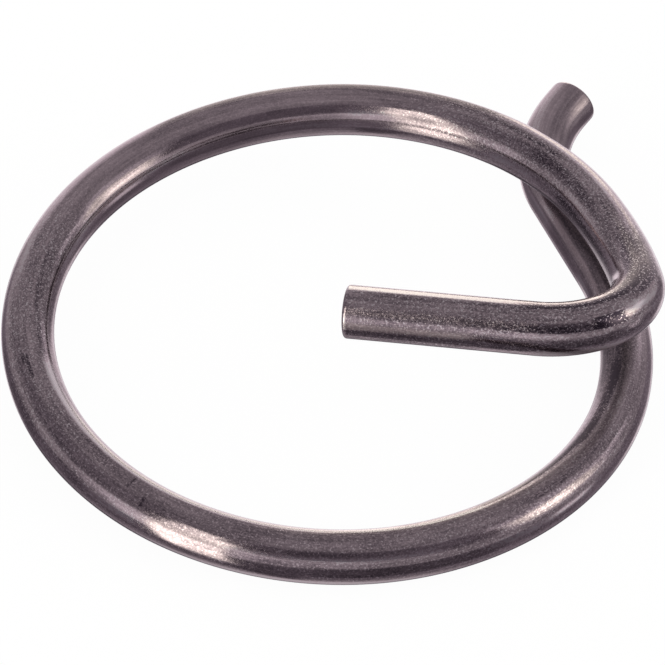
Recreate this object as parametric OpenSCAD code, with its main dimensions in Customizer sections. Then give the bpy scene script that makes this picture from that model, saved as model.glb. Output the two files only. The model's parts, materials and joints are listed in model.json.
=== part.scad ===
// Split ring bent from one length of round steel wire.
// The wire makes a little less than one open turn. Its upper end leaves the ring
// through a raised shoulder and turns inward as a long straight leg. Its lower end
// passes beneath that shoulder and turns outward as a short tail.
// The ring is drawn as it comes to rest on a flat surface, with the origin on that
// surface, under the middle of its box.

/* [Wire] */
// Diameter of the round wire
wire_d = 4; // [1.5:0.1:5]
// Radius left on the rim of each cropped end
crop_edge_r = 0.25; // [0.05:0.05:0.4]

/* [Ring] */
// Inside diameter of the ring
ring_inside_d = 41; // [30:0.5:80]
// Clear height between one turn of the wire and the next
turn_gap = 2.7; // [2:0.1:6]
// Angle that the round part of the ring covers
ring_sweep = 326; // [300:1:340]
// Place round the ring where the upper end leaves it
ring_start = 24; // [0:1:60]

/* [Inner leg] */
// Radius of the raised shoulder, on the wire's middle line
shoulder_r = 25.5; // [15:0.5:60]
// Angle that the shoulder turns through
shoulder_angle = 21.5; // [5:0.5:30]
// How far the shoulder is rolled up out of the ring's plane
shoulder_lift = 36; // [0:1:45]
// Inside radius of the tight bend at the foot of the leg
leg_bend_inside_r = 4.6; // [2:0.1:8]
// Angle that the tight bend turns through
leg_bend_angle = 107; // [80:1:115]
// How far the tight bend is rolled back towards the ring's plane
leg_bend_drop = 32; // [0:1:45]
// Straight length of the leg, up to its cropped end
leg_length = 14.1; // [5:0.1:18]

/* [Outer tail] */
// Radius of the run-out, on the wire's middle line
runout_r = 27; // [22:0.5:60]
// Angle that the run-out turns through
runout_angle = 30.5; // [10:0.5:40]
// Straight length between the run-out and the tail's bend
runout_length = 9.2; // [2:0.1:15]
// Inside radius of the tail's bend
tail_bend_inside_r = 8.4; // [4:0.1:14]
// Angle that the tail's bend turns through
tail_bend_angle = 56.5; // [30:0.5:80]
// How far the tail's bend is rolled up out of the ring's plane
tail_rise = 12; // [0:1:30]
// Straight length of the tail, up to its cropped end
tail_length = 1.2; // [0.6:0.1:8]

/* [Hidden] */
$fn = 64;
steel = [0.40, 0.36, 0.38];
wire_r = wire_d / 2;
ring_r = (ring_inside_d + wire_d) / 2;
ring_pitch = wire_d + turn_gap;
ring_slope = atan(ring_pitch / (2 * PI * ring_r));
leg_bend_r = leg_bend_inside_r + wire_r;
tail_bend_r = tail_bend_inside_r + wire_r;

// The ring is a shallow helix, made of plane arcs with a small twist between them.
ring_arcs = 6;
arc_r = ring_r / pow(cos(ring_slope), 2);
arc_angle = ring_sweep / ring_arcs * cos(ring_slope);
arc_twist = -ring_sweep / ring_arcs * sin(ring_slope);

// Every second length of wire is thinner by nest_step in radius and reaches nest_lap
// into its neighbours, so that the lengths join as one clean solid.
nest_step = 0.01;
nest_lap = 0.1;

// The wire as a list of bending steps, each with a roll about the wire, a straight
// length, a bend radius and a bend angle. The wire heads along its own X and bends
// towards its own Y. Both lists begin where the shoulder meets the ring.
ROLL = 0;
LENGTH = 1;
RADIUS = 2;
ANGLE = 3;
leg_steps = [
    [shoulder_lift, 0, shoulder_r, shoulder_angle],
    [-leg_bend_drop, 0, leg_bend_r, leg_bend_angle],
    [0, leg_length, 0, 0]
];
ring_steps = [
    for (i = [1 : ring_arcs]) [(i == 1 ? 0.5 : 1) * arc_twist, 0, arc_r, arc_angle]
];
tail_steps = [
    [arc_twist / 2, 0, runout_r, runout_angle],
    [0, runout_length, 0, 0],
    [180 - tail_rise, 0, tail_bend_r, tail_bend_angle],
    [0, tail_length, 0, 0]
];
round_steps = concat(ring_steps, tail_steps);

// Matrices that carry the wire's own frame along: a roll, then a share of one step.
function rolled(angle) = [
    [1, 0, 0, 0],
    [0, cos(angle), -sin(angle), 0],
    [0, sin(angle), cos(angle), 0],
    [0, 0, 0, 1]
];
function run(step, share) = let (a = step[ANGLE] * share) [
    [cos(a), -sin(a), 0, step[LENGTH] * share + step[RADIUS] * sin(a)],
    [sin(a), cos(a), 0, step[RADIUS] * (1 - cos(a))],
    [0, 0, 1, 0],
    [0, 0, 0, 1]
];

// The frame where the ring begins, heading down the helix, and the same one turned
// to look back along the leg.
ring_frame = [
    [-sin(ring_start) * cos(ring_slope), -cos(ring_start), -sin(ring_start) * sin(ring_slope),
        ring_r * cos(ring_start)],
    [cos(ring_start) * cos(ring_slope), -sin(ring_start), cos(ring_start) * sin(ring_slope),
        ring_r * sin(ring_start)],
    [-sin(ring_slope), 0, cos(ring_slope), 0],
    [0, 0, 0, 1]
];
look_back = [[-1, 0, 0, 0], [0, 1, 0, 0], [0, 0, 1, 0], [0, 0, 0, 1]];

// Stations along the wire, each a point on its middle line and its heading there.
stations_per_step = 12;
function station(m) = [[m[0][3], m[1][3], m[2][3]], [m[0][0], m[1][0], m[2][0]]];
function stations(steps, start, i = 0) =
    i == len(steps) ? [station(start)] :
    let (turned = start * rolled(steps[i][ROLL]))
    concat(
        [for (k = [0 : stations_per_step - 1]) station(turned * run(steps[i], k / stations_per_step))],
        stations(steps, turned * run(steps[i], 1), i + 1)
    );
leg_stations = stations(leg_steps, ring_frame * look_back);
round_stations = stations(round_steps, ring_frame);
wire_stations = concat([for (i = [len(leg_stations) - 1 : -1 : 1]) leg_stations[i]], round_stations);

// Balance point of the wire.
spans = [
    for (i = [1 : len(wire_stations) - 1])
        let (a = wire_stations[i - 1][0], b = wire_stations[i][0])
        [(a + b) / 2, norm(b - a)]
];
span_total = [for (s = spans) s[1]] * [for (s = spans) 1];
balance = [for (s = spans) s[1]] * [for (s = spans) s[0]] / span_total;

// The ring lies on two places: the lowest one, by the tail, and the place on the ring
// that is opposite it across the balance point.
lowest = min([for (s = wire_stations) s[0].z]);
foot = [for (s = wire_stations) if (s[0].z == lowest) s[0]][0];
across = balance - foot;
function off_line(p) = abs(cross([across.x, across.y], [p.x - foot.x, p.y - foot.y]));
beyond = [
    for (i = [0 : ring_arcs * stations_per_step])
        if ((round_stations[i][0] - balance) * across > 0) round_stations[i]
];
nearest = min([for (s = beyond) off_line(s[0])]);
far_foot = [for (s = beyond) if (off_line(s[0]) == nearest) s][0];

// Turns the wire so that both places touch the surface, and centres it.
function unit(v) = v / norm(v);
upright = unit(cross(far_foot[1], foot - far_foot[0]));
side = unit(cross([0, 1, 0], upright));
lay = [side, cross(upright, side), upright];
laid = [for (s = wire_stations) [lay * s[0], lay * s[1]]];
function reach(s, axis) = wire_r * sqrt(max(0, 1 - pow(s[1][axis], 2)));
low = [for (axis = [0 : 2]) min([for (s = laid) s[0][axis] - reach(s, axis)])];
high = [for (axis = [0 : 2]) max([for (s = laid) s[0][axis] + reach(s, axis)])];
rest = [
    [lay[0].x, lay[0].y, lay[0].z, -(low.x + high.x) / 2],
    [lay[1].x, lay[1].y, lay[1].z, -(low.y + high.y) / 2],
    [lay[2].x, lay[2].y, lay[2].z, -low.z],
    [0, 0, 0, 1]
];

// Straight length of wire along X.
module straight(length, r, lap) {
    translate([-lap, 0, 0])
        rotate([0, 90, 0])
            cylinder(r = r, h = length + 2 * lap);
}

// Bent length of wire, a slice of a torus that leaves along X and turns towards Y.
module bend(radius, angle, r, lap) {
    lap_angle = lap / radius * 180 / PI;
    translate([0, radius, 0])
        rotate([0, 0, -90 - lap_angle])
            rotate_extrude(angle = angle + 2 * lap_angle)
                translate([radius, 0])
                    circle(r = r);
}

// Straight length whose far end is cropped square, with a slightly rounded rim.
module cropped_length(length) {
    face_r = wire_r - crop_edge_r;
    rotate([0, 90, 0])
        rotate_extrude() {
            square([wire_r, length - crop_edge_r]);
            square([face_r, length]);
            translate([face_r, length - crop_edge_r])
                intersection() {
                    circle(r = crop_edge_r);
                    square(crop_edge_r);
                }
        }
}

// Draws the steps one after another, each from where the last one ended.
module along(steps, full, i = 0) {
    step = steps[i];
    r = full ? wire_r : wire_r - nest_step;
    lap = full ? 0 : nest_lap;
    multmatrix(rolled(step[ROLL])) {
        if (i == len(steps) - 1)
            cropped_length(step[LENGTH]);
        else {
            if (step[RADIUS] == 0)
                straight(step[LENGTH], r, lap);
            else
                bend(step[RADIUS], step[ANGLE], r, lap);
            multmatrix(run(step, 1))
                along(steps, !full, i + 1);
        }
    }
}

module split_ring() {
    color(steel)
        multmatrix(rest * ring_frame) {
            along(round_steps, false);
            multmatrix(look_back)
                along(leg_steps, true);
        }
}

split_ring();
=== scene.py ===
"""Split ring: the bent steel wire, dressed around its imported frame."""
import json
import math

import bpy
import numpy as np
from mathutils import Matrix, Vector


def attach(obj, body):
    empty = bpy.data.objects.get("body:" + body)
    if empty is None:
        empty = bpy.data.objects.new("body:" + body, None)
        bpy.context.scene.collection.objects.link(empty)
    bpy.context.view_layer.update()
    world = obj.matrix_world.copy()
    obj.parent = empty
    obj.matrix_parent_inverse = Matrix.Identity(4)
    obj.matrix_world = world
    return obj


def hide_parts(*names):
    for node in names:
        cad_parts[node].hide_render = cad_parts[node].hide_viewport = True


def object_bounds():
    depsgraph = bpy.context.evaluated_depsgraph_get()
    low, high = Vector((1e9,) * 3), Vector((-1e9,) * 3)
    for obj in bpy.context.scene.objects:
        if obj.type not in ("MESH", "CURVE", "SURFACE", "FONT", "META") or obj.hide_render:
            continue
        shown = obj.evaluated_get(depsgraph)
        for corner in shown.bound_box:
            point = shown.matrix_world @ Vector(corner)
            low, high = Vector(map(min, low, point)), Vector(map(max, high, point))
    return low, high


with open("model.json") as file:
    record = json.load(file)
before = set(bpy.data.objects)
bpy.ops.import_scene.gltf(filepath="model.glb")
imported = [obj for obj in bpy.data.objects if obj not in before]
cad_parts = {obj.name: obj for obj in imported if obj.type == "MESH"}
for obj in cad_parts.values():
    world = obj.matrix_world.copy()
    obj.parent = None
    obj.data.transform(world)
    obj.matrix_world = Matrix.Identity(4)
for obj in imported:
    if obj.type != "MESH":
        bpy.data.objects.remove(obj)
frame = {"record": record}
cad_low, cad_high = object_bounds()

# ---------------------------------------------------------------- the wire, in metres
MM = 0.001
WIRE_R = 2.0 * MM
RING_R = 22.5 * MM
TURN_PITCH = 6.7 * MM
RING_SWEEP = 326.0
RING_ARCS = 6
CROP_EDGE_R = 0.25 * MM

SHOULDER_R = 25.5 * MM
SHOULDER_ANGLE = 21.5
SHOULDER_LIFT = 36.0
LEG_BEND_R = 6.6 * MM
LEG_BEND_ANGLE = 107.0
LEG_BEND_DROP = 32.0
LEG_LENGTH = 14.1 * MM

RUNOUT_R = 27.0 * MM
RUNOUT_ANGLE = 30.5
RUNOUT_LENGTH = 9.2 * MM
TAIL_BEND_R = 10.4 * MM
TAIL_BEND_ANGLE = 56.5
TAIL_RISE = 12.0
TAIL_LENGTH = 1.2 * MM

RING_SLOPE = math.atan(TURN_PITCH / (2 * math.pi * RING_R))
ARC_R = RING_R / math.cos(RING_SLOPE) ** 2
ARC_ANGLE = RING_SWEEP / RING_ARCS * math.cos(RING_SLOPE)
ARC_TWIST = -RING_SWEEP / RING_ARCS * math.sin(RING_SLOPE)

# Bending steps from the leg's tip to the tail's tip, each (roll, length, radius, angle).
LEG_STEPS = [
    (0, LEG_LENGTH, 0, 0),
    (0, 0, LEG_BEND_R, LEG_BEND_ANGLE),
    (LEG_BEND_DROP, 0, SHOULDER_R, SHOULDER_ANGLE),
]
RING_STEPS = [
    (ARC_TWIST / 2 - SHOULDER_LIFT if i == 0 else ARC_TWIST, 0, ARC_R, ARC_ANGLE)
    for i in range(RING_ARCS)
]
TAIL_STEPS = [
    (ARC_TWIST / 2, 0, RUNOUT_R, RUNOUT_ANGLE),
    (0, RUNOUT_LENGTH, 0, 0),
    (180 - TAIL_RISE, 0, TAIL_BEND_R, TAIL_BEND_ANGLE),
    (0, TAIL_LENGTH, 0, 0),
]

# ---------------------------------------------------------------- mesh density
SIDES = 96
STATION_GAP = 0.33 * MM
EDGE_RINGS = 7
# Rings of the body nearer to a tip than this would crowd those of its rounded edge.
EDGE_CLEARANCE = 1.3 * CROP_EDGE_R

# ---------------------------------------------------------------- camera, angles in degrees, lens in mm
CAMERA_AIM = Vector((0.17, -4.70, 5.00)) * MM
CAMERA_DISTANCE = 368.6 * MM
CAMERA_AZIMUTH = -3.30
CAMERA_ELEVATION = 41.93
CAMERA_ROLL = 4.95
CAMERA_LENS = 266.96


def roll_matrix(degrees):
    """A turn about the wire's own length."""
    return Matrix.Rotation(math.radians(degrees), 4, "X")


def run_matrix(step, share):
    """Frame after a share of one bending step: heads along X, bends towards Y."""
    _, length, radius, angle = step
    a = math.radians(angle) * share
    turn = Matrix.Rotation(a, 4, "Z")
    place = Vector((length * share + radius * math.sin(a), radius * (1 - math.cos(a)), 0))
    return Matrix.Translation(place) @ turn


def wire_stations(steps):
    """Frames along the wire's middle line with the distance travelled. The roll between
    steps is taken out again, so the frames follow the wire without twisting."""
    stations = []
    start = Matrix.Identity(4)
    rolled = 0.0
    travelled = 0.0
    for step in steps:
        rolled += step[0]
        start = start @ roll_matrix(step[0])
        reach = step[1] + step[2] * math.radians(step[3])
        count = max(2, round(reach / STATION_GAP))
        for k in range(count):
            share = k / count
            here = start @ run_matrix(step, share) @ roll_matrix(-rolled)
            stations.append((here, travelled + reach * share))
        start = start @ run_matrix(step, 1)
        travelled += reach
    stations.append((start @ roll_matrix(-rolled), travelled))
    return stations


def mount(name):
    """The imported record's mount of that name."""
    return next(m for m in frame["record"]["mounts"] if m["name"] == name)


def axes_matrix(x, other):
    """Right-handed axes with X along x and Z as near to other as it can be."""
    x = x.normalized()
    z = (other - x * other.dot(x)).normalized()
    return Matrix((x, z.cross(x), z)).transposed().to_4x4()


def wire_placing(steps):
    """Carries the wire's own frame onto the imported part's leg and ring axis."""
    leg_axis = Vector(mount("inner_leg")["axis"])
    tip = Vector(mount("inner_leg")["pos_m"]) + leg_axis * LEG_LENGTH / 2
    ring_axis = Vector(mount("ring_seat")["axis"])
    at_ring = Matrix.Identity(4)
    for step in LEG_STEPS:
        at_ring = at_ring @ roll_matrix(step[0]) @ run_matrix(step, 1)
    at_ring = at_ring @ roll_matrix(-SHOULDER_LIFT)
    local_axis = at_ring.to_3x3() @ Vector((-math.sin(RING_SLOPE), 0, math.cos(RING_SLOPE)))
    own = axes_matrix(Vector((1, 0, 0)), local_axis)
    placed = axes_matrix(-leg_axis, ring_axis)
    return Matrix.Translation(tip) @ placed @ own.inverted()


def crop_profile():
    """(inset from the tip, radius) round the edge of a cropped end, tip first."""
    angles = [math.radians(90) * k / (EDGE_RINGS - 1) for k in range(EDGE_RINGS)]
    middle_r = WIRE_R - CROP_EDGE_R
    return [(CROP_EDGE_R * (1 - math.sin(a)), middle_r + CROP_EDGE_R * math.cos(a)) for a in angles[::-1]]


def wire_sections():
    """(frame, distance along the wire, radius) of every ring of vertices, tip to tip."""
    steps = LEG_STEPS + RING_STEPS + TAIL_STEPS
    placing = wire_placing(steps)
    stations = [(placing @ m, d) for m, d in wire_stations(steps)]
    first, last, length = stations[0][0], stations[-1][0], stations[-1][1]
    head = [(first @ Matrix.Translation((i, 0, 0)), i, r) for i, r in crop_profile()]
    tail = [(last @ Matrix.Translation((-i, 0, 0)), length - i, r) for i, r in crop_profile()]
    body = [(m, d, WIRE_R) for m, d in stations if EDGE_CLEARANCE < d < length - EDGE_CLEARANCE]
    return head + body + tail[::-1], length


def swept_vertices(sections):
    """Vertices of all sections, each with its place on the unbent wire in mm."""
    angles = [2 * math.pi * k / SIDES for k in range(SIDES)]
    verts, straight = [], []
    for m, d, r in sections:
        for a in angles:
            y, z = r * math.cos(a), r * math.sin(a)
            verts.append(m @ Vector((0, y, z)))
            straight.append((d / MM, y / MM, z / MM))
    for m, d, _ in (sections[0], sections[-1]):
        verts.append(m.translation)
        straight.append((d / MM, 0, 0))
    return verts, straight


def swept_faces(sections, length):
    """Faces of the skin and of the two cropped ends, and a UV for each of their corners."""
    rows = len(sections)
    faces, uvs = [], []
    for i in range(rows - 1):
        u0, u1 = sections[i][1] / length, sections[i + 1][1] / length
        for k in range(SIDES):
            j = (k + 1) % SIDES
            faces.append((i * SIDES + k, i * SIDES + j, (i + 1) * SIDES + j, (i + 1) * SIDES + k))
            v0, v1 = k / SIDES, (k + 1) / SIDES
            uvs += [(u0, v0), (u0, v1), (u1, v1), (u1, v0)]
    first_middle = rows * SIDES
    for row, order, middle in ((0, -1, first_middle), (rows - 1, 1, first_middle + 1)):
        for k in range(SIDES)[::order]:
            j = (k + order) % SIDES
            faces.append((row * SIDES + k, row * SIDES + j, middle))
            uvs += [(0.5, 0.5)] * 3
    return faces, uvs


def build_wire():
    """The dressed wire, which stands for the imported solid."""
    sections, length = wire_sections()
    verts, straight = swept_vertices(sections)
    faces, uvs = swept_faces(sections, length)
    mesh = bpy.data.meshes.new("steel_wire")
    mesh.from_pydata(verts, [], faces)
    mesh.update()
    mesh.attributes.new("straight", "FLOAT_VECTOR", "POINT").data.foreach_set(
        "vector", np.array(straight, float).ravel()
    )
    mesh.uv_layers.new(name="wire").data.foreach_set("uv", np.array(uvs, float).ravel())
    mesh.polygons.foreach_set("use_smooth", [True] * len(faces))
    wire = bpy.data.objects.new("steel_wire", mesh)
    bpy.context.scene.collection.objects.link(wire)
    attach(wire, "root")
    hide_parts("split_ring")
    return wire


def make_camera():
    """The photograph's camera, which looks at CAMERA_AIM."""
    data = bpy.data.cameras.new("camera")
    data.lens = CAMERA_LENS
    data.clip_start = 0.01
    data.clip_end = 10
    cam = bpy.data.objects.new("camera", data)
    bpy.context.scene.collection.objects.link(cam)
    a, e = math.radians(CAMERA_AZIMUTH), math.radians(CAMERA_ELEVATION)
    back = Vector((math.sin(a) * math.cos(e), -math.cos(a) * math.cos(e), math.sin(e)))
    cam.location = CAMERA_AIM + back * CAMERA_DISTANCE
    level = (-back).to_track_quat("-Z", "Y").to_matrix()
    roll = Matrix.Rotation(math.radians(CAMERA_ROLL), 3, "Z")
    cam.rotation_euler = (level @ roll).to_euler()
    bpy.context.scene.camera = cam


class Nodes:
    """Short names for building a node tree."""

    def __init__(self, tree):
        self.tree = tree
        tree.nodes.clear()

    def add(self, kind, inputs=None, **settings):
        """A new node with its settings, and its inputs set to numbers or linked to sockets."""
        node = self.tree.nodes.new("ShaderNode" + kind)
        for key, value in settings.items():
            setattr(node, key, value)
        for key, value in (inputs or {}).items():
            socket = self.socket(node, key)
            if isinstance(value, bpy.types.NodeSocket):
                self.tree.links.new(value, socket)
            else:
                socket.default_value = value
        return node

    def socket(self, node, key):
        """The input of that name which is in use, since a Mix node has one set per data type."""
        if isinstance(key, str):
            return next(i for i in node.inputs if i.name == key and i.enabled)
        return node.inputs[key]

    def math(self, operation, a, b=0.0, c=0.0):
        return self.add("Math", {0: a, 1: b, 2: c}, operation=operation).outputs[0]

    def mix(self, factor, a, b):
        """A mix of two numbers or sockets."""
        node = self.add("Mix", {"Factor": factor, "A": a, "B": b}, data_type="FLOAT")
        return self.result(node)

    def result(self, node):
        """The output of a Mix node that is in use."""
        return next(o for o in node.outputs if o.enabled)

    def colour_mix(self, factor, a, b):
        """A mix of two colours, each three numbers or a socket."""
        a, b = ((*c, 1) if isinstance(c, tuple) else c for c in (a, b))
        node = self.add("Mix", {"Factor": factor, "A": a, "B": b}, data_type="RGBA")
        return self.result(node)

    def total(self, first, *others):
        """The sum of numbers or sockets."""
        for other in others:
            first = self.math("ADD", first, other)
        return first

    def noise(self, vector, scale, detail, roughness):
        inputs = {"Vector": vector, "Scale": scale, "Detail": detail, "Roughness": roughness}
        return self.add("TexNoise", inputs).outputs["Fac"]

    def stretch(self, vector, along):
        """Noise on the result is drawn out along the wire where along is below 1."""
        return self.add("Mapping", {"Vector": vector, "Scale": (along, 1.0, 1.0)}).outputs["Vector"]

    def shift(self, vector, by):
        """Noise on the result comes from another place in the same pattern."""
        return self.add("Mapping", {"Vector": vector, "Location": (by, by, by)}).outputs["Vector"]

    def ramp(self, value, low, high, to_low=0.0, to_high=1.0, smooth=True):
        """Goes from to_low to to_high as the value goes from low to high, and stays there."""
        node = self.add(
            "MapRange",
            {"Value": value, "From Min": low, "From Max": high, "To Min": to_low, "To Max": to_high},
            interpolation_type="SMOOTHSTEP" if smooth else "LINEAR",
        )
        return node.outputs["Result"]

    def steps(self, value, stops):
        """A curve through the stops, each a pair of value and level."""
        level = stops[0][1]
        for (low, _), (high, next_level) in zip(stops, stops[1:]):
            level = self.mix(self.ramp(value, low, high), level, next_level)
        return level

    def patch(self, around, along):
        """1 inside a soft-edged patch; both arguments hold value, middle, half size and soft edge."""
        angle, middle, half, edge = around
        turned = self.math("WRAP", self.math("SUBTRACT", angle, middle), 180, -180)
        near = self.ramp(self.math("ABSOLUTE", turned), half + edge / 2, half - edge / 2)
        value, middle, half, edge = along
        away = self.math("ABSOLUTE", self.math("SUBTRACT", value, middle))
        return self.math("MULTIPLY", near, self.ramp(away, half + edge / 2, half - edge / 2))


# ---------------------------------------------------------------- studio
# Brightness of the surroundings by elevation in degrees, 1 is white.
SKY = [
    (-90, 1.2),
    (-75, 0.88),
    (-63, 0.58),
    (-45, 0.42),
    (-30, 0.36),
    (-14, 0.46),
    (-7, 0.85),
    (14, 0.90),
    (26, 0.60),
    (50, 0.56),
    (65, 0.70),
    (76, 0.88),
    (90, 1.05),
]
# Softboxes and cards: azimuth, elevation, half width, half height, soft edge, brightness.
PANELS = [
    ("back_wall", 5, 42, 52, 26, 24, 0.88),
    ("side_wall", 70, 52, 30, 22, 24, 0.84),
    ("strip_glow", -138, 6, 36, 14, 20, 1.5),
    ("strip_halo", -137, 3, 22, 16, 16, 1.9),
    ("backdrop", 6, -6, 34, 28, 10, 1.5),
    ("side_light", 30, 14, 10, 12, 8, 1.7),
    ("backlight", 12, 1, 11, 9, 5, 2.9),
    ("back_strip", -4, 6, 6, 20, 7, 3.5),
    ("far_floor", 0, -57, 46, 9, 6, 0.15),
    ("floor_rim", -8, -42, 26, 4, 5, 1.3),
    ("side_card", 54, -16, 18, 13, 8, 0.48),
    ("side_sheen", 40, -38, 12, 6, 8, 1.4),
    ("left_floor", -50, -35, 15, 11, 12, 0.30),
    ("right_floor", 148, -30, 34, 19, 12, 0.26),
    ("front_floor", -160, -62, 14, 18, 8, 0.30),
    ("front_glow", 180, 9, 14, 12, 8, 1.25),
    ("camera_low", 160, 30, 40, 8, 5, 0.36),
    ("camera", 171, 46, 37, 15, 5, 0.34),
    ("strip_low", -138.5, -15, 11.5, 26, 4, 6.6),
    ("strip_foot", -138, -42, 12, 5, 6, 2.6),
    ("strip_high", -138.5, 33, 11.5, 7, 4, 6.2),
    ("strip_top", -133.5, 44, 9, 8, 4, 6.2),
    ("strip_seam", -138, 20, 12, 8, 5, 4.0),
    ("box_glow", 97, 31, 21, 19, 14, 1.9),
    ("box_tail", 81, 24, 19, 6, 10, 1.9),
    ("box_core", 99, 26, 16, 12, 12, 3.4),
    ("box", 101, 26, 9, 8, 8, 7.0),
    ("box_on_floor", 95, -18, 7, 6, 8, 1.9),
    ("camera_edge", 129, 38, 10, 16, 5, 0.34),
]


# Colour of the studio's light: its dark parts, its lit parts and its lamps.
SHADE_TINT = (1.0, 0.92, 1.05)
LIGHT_TINT = (1.0, 0.98, 1.01)
LAMP_TINT = (1.0, 1.01, 0.88)


def studio_value(n):
    """Brightness seen in each direction of the studio."""
    direction = n.add("TexCoord").outputs["Generated"]
    xyz = n.add("SeparateXYZ", {0: direction})
    azimuth = n.math("DEGREES", n.math("ARCTAN2", xyz.outputs["X"], xyz.outputs["Y"]))
    elevation = n.math("DEGREES", n.math("ARCSINE", xyz.outputs["Z"]))
    value = n.steps(elevation, SKY)
    for _, az, el, half_w, half_h, edge, level in PANELS:
        inside = n.patch((azimuth, az, half_w, edge), (elevation, el, half_h, edge))
        value = n.mix(inside, value, level)
    return value


def make_world():
    """The camera sees plain white, and everything else sees the studio."""
    world = bpy.data.worlds.new("studio")
    bpy.context.scene.world = world
    world.use_nodes = True
    n = Nodes(world.node_tree)
    value = studio_value(n)
    tint = n.colour_mix(n.ramp(value, low=0.3, high=0.85), SHADE_TINT, LIGHT_TINT)
    tint = n.colour_mix(n.ramp(value, low=1.6, high=3.0), tint, LAMP_TINT)
    studio = n.add("Background", {"Color": tint, "Strength": value})
    white = n.add("Background", {"Color": (1, 1, 1, 1), "Strength": 1.0})
    by_camera = n.add("LightPath").outputs["Is Camera Ray"]
    seen = n.add("MixShader", {0: by_camera, 1: studio.outputs[0], 2: white.outputs[0]})
    n.add("OutputWorld", {"Surface": seen.outputs[0]})


# ---------------------------------------------------------------- steel
# Strength of the mottling and of the pin-sized glints, by distance along the unbent wire in mm
# from the leg's tip.
GRAIN = [
    (0, 0.9), (18, 1.2), (45, 1.2), (58, 0.5), (82, 0.5), (92, 1.1),
    (108, 1.0), (118, 0.75), (130, 0.8), (150, 1.1), (188, 0.4),
]
PINS = [
    (0, 1.7), (18, 3.2), (45, 3.2), (60, 0.3), (84, 0.3), (92, 2.6),
    (108, 2.0), (118, 1.1), (130, 1.2), (158, 1.3), (188, 0.3),
]
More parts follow.
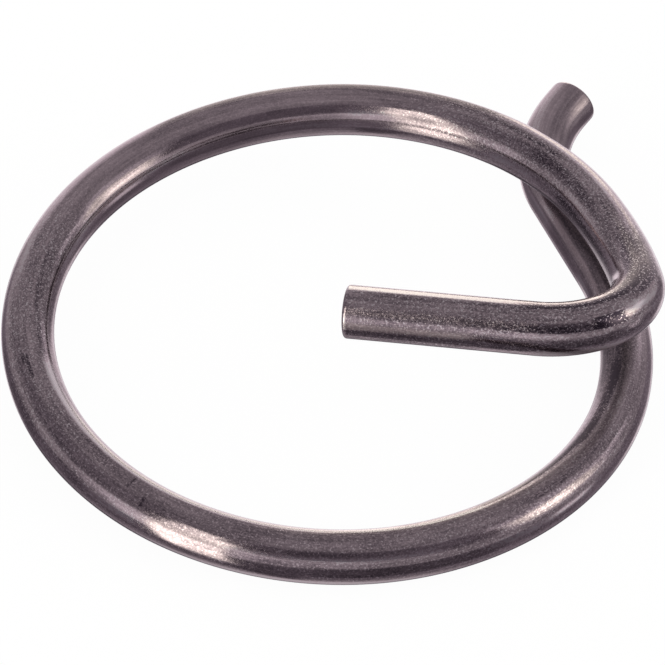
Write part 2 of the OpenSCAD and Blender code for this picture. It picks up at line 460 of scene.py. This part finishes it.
# Painted shade and dark reflections where the darkening is above 0, and painted highlights and
# reflections
# where it is below 0, with two real scuffs and two real scratches among them, in order along the wire:
# distance along it and half length in mm, angle around it and half angle in degrees, soft edge in mm,
# darkening, roughening.
PAINTED_LIGHT_AND_SCUFFS = [
    ("tip_rim", 0, 0.35, -177, 26, 0.2, -1.6, 0.0),
    ("leg_front", 4, 6, -176, 8, 3, -0.5, 0.9),
    ("leg_foot", 4, 6, -138, 7, 2, 1.5, 0.0),
    ("leg_rim", 5, 7.5, 84, 14, 3, -2.2, 0.0),
    ("leg_under", 7, 9, -158, 9, 2.5, 0.4, 0.0),
    ("leg_side", 10, 9, 154, 10, 3, 0.8, 0.0),
    ("leg_shoulder", 12, 10, 104, 8, 2, 0.6, 0.0),
    ("leg_side_low", 12.8, 1.3, 163, 6, 1.5, 0.8, 0.0),
    ("leg_rim_bend", 15, 4.5, 77, 7, 2, -2.0, 0.0),
    ("leg_front_bend", 16.5, 4.5, -172, 7, 2, 0.5, 0.3),
    ("bend_under", 17, 3, -142, 11, 2, -1.9, 1.0),
    ("bend_low", 18, 5, 166, 5, 2, -0.9, 0.0),
    ("bend_top", 18.5, 5, 95, 9, 2, 1.6, 0.0),
    ("bend_shade", 19.0, 1.0, 148, 13, 0.8, 2.8, 0.0),
    ("bend_rim", 20.5, 3, 62, 9, 2, -1.8, 0.0),
    ("bend_back", 21.9, 2.4, 83, 7, 1.5, 1.5, 0.0),
    ("bend_glint", 22.3, 2, 138, 11, 2, -1.9, 0.0),
    ("shoulder_corner", 25.3, 1.6, 45, 10, 1.5, -1.7, 0.0),
    ("bend_side", 25.5, 1.8, 147, 9, 1.5, 0.9, 0.0),
    ("shoulder_back", 26, 4.5, 102, 34, 4, 1.5, 0.7),
    ("shoulder_glint", 28.5, 1.5, 126, 8, 2, -1.0, 0.0),
    ("shoulder_line", 29, 9, 32, 5, 2, -1.0, 0.0),
    ("shoulder_under", 30, 9, 2, 13, 2.5, 1.8, 0.3),
    ("shoulder_skin", 32, 12, 56, 13, 3, 0.65, 0.3),
    ("shoulder_top", 32.5, 3, 84, 10, 3, 0.6, 0.3),
    ("shoulder_rim", 40, 5, 104, 6, 3, -1.0, 0.0),
    ("ring_inner_right", 45, 2.5, 2, 9, 2, -0.6, 0.0),
    ("ring_light", 48.5, 4, 26, 8, 2, -0.7, 0.0),
    ("ring_top", 50, 9, 82, 8, 2, 0.6, 0.3),
    ("ring_light_haze", 52, 5, 16, 22, 3, 0.35, 0.25),
    ("ring_light_foot", 52.5, 3, -5, 9, 1.5, 1.0, 0.0),
    ("ring_foot", 57, 16, -46, 8, 2, -2.0, 0.0),
    ("ring_inner", 58, 16, -2, 8, 3, -0.9, 0.0),
    ("ring_light_far", 58, 3, 27, 10, 3, -0.9, 0.0),
    ("ring_back", 62, 14, 103, 12, 3, 1.5, 0.8),
    ("left_low", 83, 9, 13, 10, 3, -1.2, 0.0),
    ("left_light", 84, 9, 31, 5, 2, 0.5, 0.0),
    ("left_back_rim", 85, 9, 110, 8, 3, -1.1, 0.0),
    ("left_inner", 93, 10, 52, 12, 4, 0.4, 0.0),
    ("left_foot", 101, 3, 163, 7, 2, 1.7, 0.0),
    ("scuff_left_low", 102.6, 0.5, 98, 4, 0.5, 1.0, 0.0),
    ("scuff_left", 103.5, 1.1, 90, 4, 0.5, 1.2, 0.0),
    ("left_rim", 108, 13, 128, 6, 3, -0.6, 0.0),
    ("front_glint_left", 117, 2.5, 152, 8, 2.5, -1.4, 0.0),
    ("scratch", 117.4, 0.07, 80, 15, 0.2, 1.0, 0.0),
    ("scratch_low", 119.0, 0.10, 105, 11, 0.3, 1.0, 0.0),
    ("front_glint", 119.5, 3, 145, 13, 2.5, -0.7, 0.0),
    ("front_skin", 120, 18, 100, 80, 8, 0.35, 0.0),
    ("front_glint_top", 121, 3, 117, 8, 2.5, 0.25, 0.0),
    ("front_inside", 124, 21, 46, 12, 2, -2.2, 0.3),
    ("front_foot", 124, 16, -169, 10, 2, -1.6, 0.0),
    ("front_line", 133, 8, 127, 5, 2, -1.4, 0.0),
    ("front_inside_top", 141, 5, 57, 6, 3, -1.0, 0.0),
    ("front_line_right", 142, 2.5, 114, 7, 2.5, -0.6, 0.0),
    ("front_inside_end", 147, 9, 42, 6, 2, 2.6, 0.0),
    ("front_right_low", 149, 5, 150, 7, 3, -1.2, 0.0),
    ("ring_inside", 150, 22, 73, 13, 4, -0.1, 1.0),
    ("ring_top_right", 152, 5, 88, 10, 3, 0.6, 0.0),
    ("foot_left", 154, 4, 46, 12, 3, 0.8, 0.4),
    ("crossing_foot", 160, 5, 50, 9, 3, 1.7, 0.8),
    ("crossing_top", 162, 2.5, 81, 7, 3, -0.8, 0.0),
    ("crossing_left", 167, 4, 30, 30, 4, 0.4, 0.0),
    ("crossing_skin", 173, 11, 46, 42, 6, 1.0, 0.8),
    ("crossing_rim", 174, 4, -14, 8, 2, -1.8, 0.0),
    ("crossing_line", 178, 8, 18, 8, 3, -1.6, 0.0),
    ("tail_root", 187, 3, -8, 11, 2, -1.2, 0.0),
    ("tail_side", 195, 5, 38, 16, 4, -0.8, 0.3),
    ("tail_top", 197, 5, 105, 18, 4, 0.4, 0.6),
]
# Each mm of soft edge along the wire goes with this many degrees of soft edge around it.
EDGE_DEGREES_PER_MM = 4.0
# Distance from the wire's middle in mm where the patches start and where they are whole, so
# that the cut faces at the tips stay plain.
SKIN_FROM, SKIN_TO = 1.3, 1.8

# The darkest colour shows dark mottling, scuffs and painted shade. The bare colour shows bright pins and
# painted highlights.
DARK_METAL_AND_SHADE = (0.031, 0.0232, 0.0312)
CLEAN_METAL = (0.280, 0.2225, 0.2405)
BARE_METAL_AND_HIGHLIGHT = (0.280, 0.247, 0.260)
METAL_TINT = (1.0, 0.92, 0.94, 1)

# Tones of the darkest mottling, scuffs and painted shade, of clean metal, and of the bare bright pins and
# painted highlights, where they begin and where they are whole.
DARKEST, CLEANEST = -1.7, 1.5
HIGHLIGHT_AND_BARE_FROM, HIGHLIGHT_AND_BARE_TO = 0.9, 1.7

SMOOTH, DULL = 0.12, 0.46
# Roughness of the small rough spots on the leg and its bend, and on the rest of the wire.
LEG_SPOTS, RING_SPOTS = 0.29, 0.20
LEG_SPOTS_END, RING_SPOTS_START = 18.0, 26.0

# Depth of the surface's unevenness in mm: grain, draw lines and wide shallow flutes.
GRAIN_DEPTH, LINE_DEPTH, FLUTE_DEPTH = 0.0018, 0.008, 0.014


def steel_material():
    """Dull drawn steel: dark, slightly purple, with grain, draw lines, scuffs, scratches, painted shade
    and painted highlights.
    """
    material = bpy.data.materials.new("steel_wire")
    material.use_nodes = True
    n = Nodes(material.node_tree)
    straight = n.add("Attribute", attribute_name="straight").outputs["Vector"]
    xyz = n.add("SeparateXYZ", {0: straight})
    along = xyz.outputs["X"]
    angle = n.math("DEGREES", n.math("ARCTAN2", xyz.outputs["Z"], xyz.outputs["Y"]))
    across = n.add("VectorMath", {0: straight, 1: (0, 1, 1)}, operation="MULTIPLY")
    radius = n.add("VectorMath", {0: across.outputs["Vector"]}, operation="LENGTH")
    skin = n.ramp(radius.outputs["Value"], SKIN_FROM, SKIN_TO)

    fine = n.noise(n.stretch(straight, along=0.7), scale=8.5, detail=2.0, roughness=0.6)
    coarse = n.noise(n.shift(straight, by=30.0), scale=3.6, detail=2.0, roughness=0.6)
    pins = n.noise(n.shift(straight, by=90.0), scale=7.0, detail=1.0, roughness=0.5)
    patches = n.noise(n.stretch(straight, along=0.25), scale=0.9, detail=3.0, roughness=0.55)
    lines = n.noise(n.stretch(straight, along=0.03), scale=4.2, detail=3.0, roughness=0.6)
    flutes = n.noise(n.stretch(straight, along=0.008), scale=1.5, detail=1.0, roughness=0.5)

    dark = 0.0
    dull = 0.0
    # Each row paints shade where its darkening is above 0, and a highlight or reflection where it is
    # below 0. The scuff and scratch rows are real marks.
    for _, at, half, turn, half_turn, edge, darkening, roughening in PAINTED_LIGHT_AND_SCUFFS:
        inside = n.patch((angle, turn, half_turn, edge * EDGE_DEGREES_PER_MM), (along, at, half, edge))
        dark = n.total(dark, n.math("MULTIPLY", inside, darkening))
        dull = n.math("MAXIMUM", dull, n.math("MULTIPLY", inside, roughening))

    dark = n.math("MULTIPLY", dark, skin)
    dull = n.math("MULTIPLY", dull, skin)

    mottling = n.total(
        n.ramp(fine, low=0.42, high=0.72, to_low=-0.2, to_high=1.0),
        n.ramp(coarse, low=0.35, high=0.7, to_low=-0.28, to_high=0.35),
    )
    glints = n.ramp(pins, low=0.59, high=0.68, to_low=-0.08, to_high=1.2)
    tone = n.total(
        n.math("MULTIPLY", mottling, n.steps(along, GRAIN)),
        n.math("MULTIPLY", glints, n.steps(along, PINS)),
        n.ramp(patches, low=0.3, high=0.7, to_low=-0.3, to_high=0.3),
        n.ramp(lines, low=0.3, high=0.7, to_low=-0.35, to_high=0.35),
        n.math("MULTIPLY", dark, -1.0),
    )
    share = n.ramp(tone, DARKEST, CLEANEST, smooth=False)
    metal = n.colour_mix(share, DARK_METAL_AND_SHADE, CLEAN_METAL)
    colour = n.colour_mix(n.ramp(tone, HIGHLIGHT_AND_BARE_FROM, HIGHLIGHT_AND_BARE_TO), metal, BARE_METAL_AND_HIGHLIGHT)

    specks = n.noise(n.shift(straight, by=60.0), scale=8.5, detail=1.0, roughness=0.5)
    spots = n.ramp(specks, low=0.53, high=0.63)
    spot_roughness = n.ramp(along, LEG_SPOTS_END, RING_SPOTS_START, LEG_SPOTS, RING_SPOTS)
    roughness = n.mix(dull, n.mix(spots, SMOOTH, spot_roughness), DULL)

    height = n.total(
        n.math("MULTIPLY", fine, GRAIN_DEPTH),
        n.math("MULTIPLY", coarse, GRAIN_DEPTH),
        n.math("MULTIPLY", lines, LINE_DEPTH),
        n.math("MULTIPLY", flutes, FLUTE_DEPTH),
    )
    bump = n.add("Bump", {"Height": height, "Strength": 1.0, "Distance": MM}).outputs["Normal"]
    surface = n.add(
        "BsdfPrincipled",
        {
            "Base Color": colour,
            "Metallic": 1.0,
            "Roughness": roughness,
            "Specular Tint": METAL_TINT,
            "Normal": bump,
        },
    )
    n.add("OutputMaterial", {"Surface": surface.outputs[0]})
    return material


# ---------------------------------------------------------------- floor
FLOOR_HALF = 3.0
FLOOR_DROP = 0.02 * MM
FLOOR_COLOUR = (0.92, 0.92, 0.92, 1)
# Share of plain white in what the camera sees of the floor. The rest shows the object's shadow.
FLOOR_WHITE = 0.965


def make_floor():
    """A pale floor just under the object. The metal doesn't mirror it: it mirrors the studio's
    lower half instead."""
    corners = [(-1, -1), (1, -1), (1, 1), (-1, 1)]
    mesh = bpy.data.meshes.new("floor")
    mesh.from_pydata([(x * FLOOR_HALF, y * FLOOR_HALF, 0) for x, y in corners], [], [(0, 1, 2, 3)])
    floor = bpy.data.objects.new("floor", mesh)
    floor.location.z = cad_low.z - FLOOR_DROP
    bpy.context.scene.collection.objects.link(floor)
    floor.visible_glossy = False
    material = bpy.data.materials.new("floor")
    material.use_nodes = True
    n = Nodes(material.node_tree)
    by_camera = n.add("LightPath").outputs["Is Camera Ray"]
    lit = n.add("BsdfDiffuse", {"Color": FLOOR_COLOUR})
    white = n.add("Emission", {"Color": (1, 1, 1, 1), "Strength": 1.0})
    share = n.math("MULTIPLY", by_camera, FLOOR_WHITE)
    seen = n.add("MixShader", {0: share, 1: lit.outputs[0], 2: white.outputs[0]})
    n.add("OutputMaterial", {"Surface": seen.outputs[0]})
    mesh.materials.append(material)


def main():
    wire = build_wire()
    wire.data.materials.append(steel_material())
    make_floor()
    make_world()
    make_camera()
    bpy.context.scene.view_settings.view_transform = "Standard"


main()
